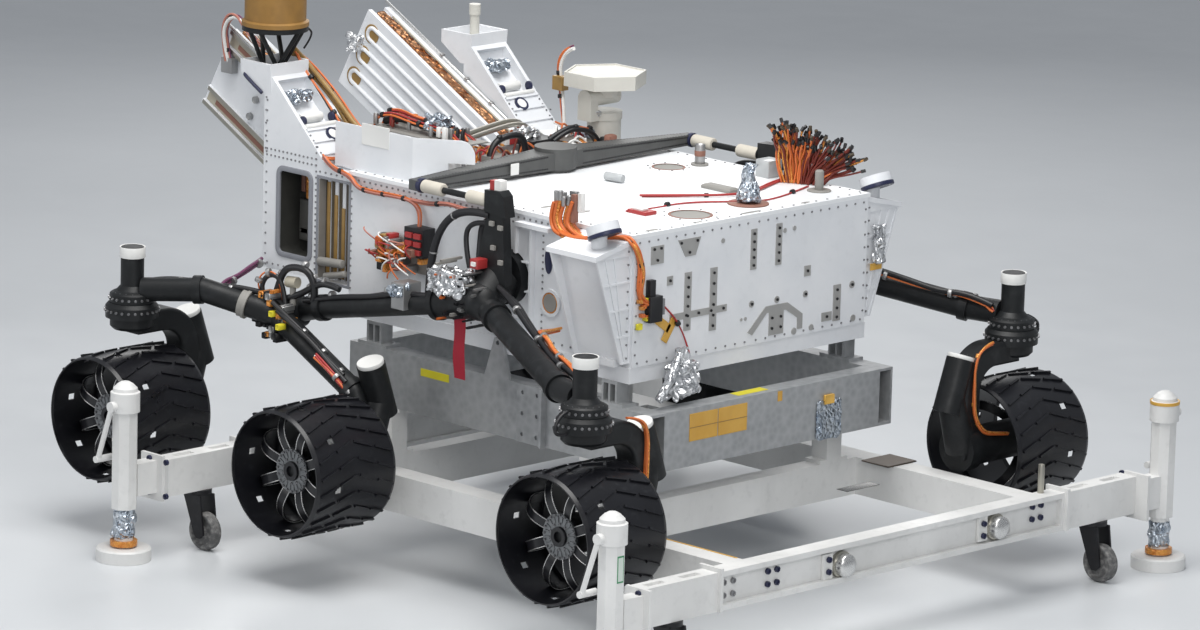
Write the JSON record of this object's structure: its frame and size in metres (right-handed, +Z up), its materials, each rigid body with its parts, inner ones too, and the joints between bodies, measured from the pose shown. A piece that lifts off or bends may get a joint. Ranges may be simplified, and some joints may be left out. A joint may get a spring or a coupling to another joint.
{
  "type": "mars rover on assembly stand",
  "caption": "Six-wheeled planetary rover body on rocker suspension, held on a frame trolley with corner jacks and casters.",
  "frame": {"origin": "on the floor, at the bottom centre of the outline", "axes": "+X towards the front, +Y to the left side, +Z up"},
  "size_m": [3.4658, 3.1896, 2.125],
  "materials": {
    "white_panel": "satin",
    "white_deck": "satin",
    "dark_anodised": "satin",
    "wheel_black": "satin",
    "bare_aluminium": "satin",
    "bar_grey": "matte",
    "stand_grey": "satin",
    "stand_white": "gloss",
    "antenna_gold": "satin",
    "antenna_white": "satin",
    "caster_black": "satin",
    "caster_tread": "matte",
    "hose_black": "satin",
    "streamer_cloth": "matte",
    "pad_metal": "satin"
  },
  "bodies": {
    "rover": {"chassis_body": "white_panel", "top_deck": "white_deck", "front_panel": "white_panel", "side_column": "white_panel", "lower_rail": "white_panel", "front_pads": "pad_metal", "bracket_discs": "white_panel", "arm_hoses": "hose_black", "streamer": "streamer_cloth", "trolley_posts": "stand_white", "bay_wall": "white_panel", "deck_cover": "white_panel", "differential_bar": "bar_grey", "antenna_truss": "dark_anodised", "antenna_can": "antenna_gold", "post_antenna": "antenna_white", "hga_base": "antenna_white", "cradle": "stand_grey", "cradle_brackets": "stand_grey", "trolley": "stand_white", "jacks": "stand_white", "corner_bracket_right": "white_panel", "rear_tower_right": "white_panel", "heat_exchanger_right": "white_panel", "differential_link_right": "dark_anodised", "rocker_right": "dark_anodised", "bogie_right": "dark_anodised", "steering_housing_front_right": "dark_anodised", "steering_housing_rear_right": "dark_anodised", "drive_middle_right": "dark_anodised", "corner_bracket_left": "white_panel", "rear_tower_left": "white_panel", "heat_exchanger_left": "white_panel", "differential_link_left": "dark_anodised", "rocker_left": "dark_anodised", "bogie_left": "dark_anodised", "steering_housing_front_left": "dark_anodised", "steering_housing_rear_left": "dark_anodised", "drive_middle_left": "dark_anodised"},
    "steer_front_right": {"knuckle_front_right": "dark_anodised"},
    "wheel_front_right": {"wheel_front_right": "wheel_black"},
    "steer_front_left": {"knuckle_front_left": "dark_anodised"},
    "wheel_front_left": {"wheel_front_left": "wheel_black"},
    "wheel_middle_right": {"wheel_middle_right": "wheel_black"},
    "wheel_middle_left": {"wheel_middle_left": "wheel_black"},
    "steer_rear_right": {"knuckle_rear_right": "dark_anodised"},
    "wheel_rear_right": {"wheel_rear_right": "wheel_black"},
    "steer_rear_left": {"knuckle_rear_left": "dark_anodised"},
    "wheel_rear_left": {"wheel_rear_left": "wheel_black"},
    "caster_fork_front_right": {"caster_fork_front_right": "caster_black"},
    "caster_wheel_front_right": {"caster_wheel_front_right": "caster_tread"},
    "caster_fork_front_left": {"caster_fork_front_left": "caster_black"},
    "caster_wheel_front_left": {"caster_wheel_front_left": "caster_tread"},
    "caster_fork_rear_right": {"caster_fork_rear_right": "caster_black"},
    "caster_wheel_rear_right": {"caster_wheel_rear_right": "caster_tread"},
    "caster_fork_rear_left": {"caster_fork_rear_left": "caster_black"},
    "caster_wheel_rear_left": {"caster_wheel_rear_left": "caster_tread"},
    "hga_yoke": {"hga_yoke": "antenna_white"},
    "hga_plate": {"hga_plate": "antenna_white"}
  },
  "joints": [
    {"name": "steer_front_right", "type": "hinge", "parent": "rover", "child": "steer_front_right", "pos_m": [1.13786, -1.15, 0.9], "axis": [0, 0, 1], "range_deg": [-95, 95]},
    {"name": "roll_front_right", "type": "hinge", "parent": "steer_front_right", "child": "wheel_front_right", "pos_m": [1.13786, -1.15, 0.465], "axis": [0, 1, 0], "continuous": true},
    {"name": "steer_front_left", "type": "hinge", "parent": "rover", "child": "steer_front_left", "pos_m": [1.13786, 1.15, 0.9], "axis": [0, 0, 1], "range_deg": [-95, 95]},
    {"name": "roll_front_left", "type": "hinge", "parent": "steer_front_left", "child": "wheel_front_left", "pos_m": [1.13786, 1.15, 0.465], "axis": [0, 1, 0], "continuous": true},
    {"name": "roll_middle_right", "type": "hinge", "parent": "rover", "child": "wheel_middle_right", "pos_m": [-0.27814, -1.15, 0.437], "axis": [0, 1, 0], "continuous": true},
    {"name": "roll_middle_left", "type": "hinge", "parent": "rover", "child": "wheel_middle_left", "pos_m": [-0.27814, 1.15, 0.437], "axis": [0, 1, 0], "continuous": true},
    {"name": "steer_rear_right", "type": "hinge", "parent": "rover", "child": "steer_rear_right", "pos_m": [-1.31014, -1.15, 0.892], "axis": [0, 0, 1], "range_deg": [-95, 95]},
    {"name": "roll_rear_right", "type": "hinge", "parent": "steer_rear_right", "child": "wheel_rear_right", "pos_m": [-1.31014, -1.15, 0.457], "axis": [0, 1, 0], "continuous": true},
    {"name": "steer_rear_left", "type": "hinge", "parent": "rover", "child": "steer_rear_left", "pos_m": [-1.31014, 1.15, 0.892], "axis": [0, 0, 1], "range_deg": [-95, 95]},
    {"name": "roll_rear_left", "type": "hinge", "parent": "steer_rear_left", "child": "wheel_rear_left", "pos_m": [-1.31014, 1.15, 0.457], "axis": [0, 1, 0], "continuous": true},
    {"name": "swivel_front_right", "type": "hinge", "parent": "rover", "child": "caster_fork_front_right", "pos_m": [1.58786, -1.15, 0.232], "axis": [0, 0, 1], "continuous": true},
    {"name": "caster_roll_front_right", "type": "hinge", "parent": "caster_fork_front_right", "child": "caster_wheel_front_right", "pos_m": [1.62986, -1.15, 0.072], "axis": [0, 1, 0], "continuous": true},
    {"name": "swivel_front_left", "type": "hinge", "parent": "rover", "child": "caster_fork_front_left", "pos_m": [1.58786, 1.15, 0.232], "axis": [0, 0, 1], "continuous": true},
    {"name": "caster_roll_front_left", "type": "hinge", "parent": "caster_fork_front_left", "child": "caster_wheel_front_left", "pos_m": [1.62986, 1.15, 0.072], "axis": [0, 1, 0], "continuous": true},
    {"name": "swivel_rear_right", "type": "hinge", "parent": "rover", "child": "caster_fork_rear_right", "pos_m": [-0.91714, -1.15, 0.232], "axis": [0, 0, 1], "continuous": true},
    {"name": "caster_roll_rear_right", "type": "hinge", "parent": "caster_fork_rear_right", "child": "caster_wheel_rear_right", "pos_m": [-0.87514, -1.15, 0.072], "axis": [0, 1, 0], "continuous": true},
    {"name": "swivel_rear_left", "type": "hinge", "parent": "rover", "child": "caster_fork_rear_left", "pos_m": [-0.91714, 1.15, 0.232], "axis": [0, 0, 1], "continuous": true},
    {"name": "caster_roll_rear_left", "type": "hinge", "parent": "caster_fork_rear_left", "child": "caster_wheel_rear_left", "pos_m": [-0.87514, 1.15, 0.072], "axis": [0, 1, 0], "continuous": true},
    {"name": "hga_azimuth", "type": "hinge", "parent": "rover", "child": "hga_yoke", "pos_m": [-0.38214, 0.45, 1.56], "axis": [0, 0, 1], "range_deg": [-170, 170]},
    {"name": "hga_elevation", "type": "hinge", "parent": "hga_yoke", "child": "hga_plate", "pos_m": [-0.38214, 0.45, 1.645], "axis": [0, 1, 0], "range_deg": [-60, 60]}
  ]
}
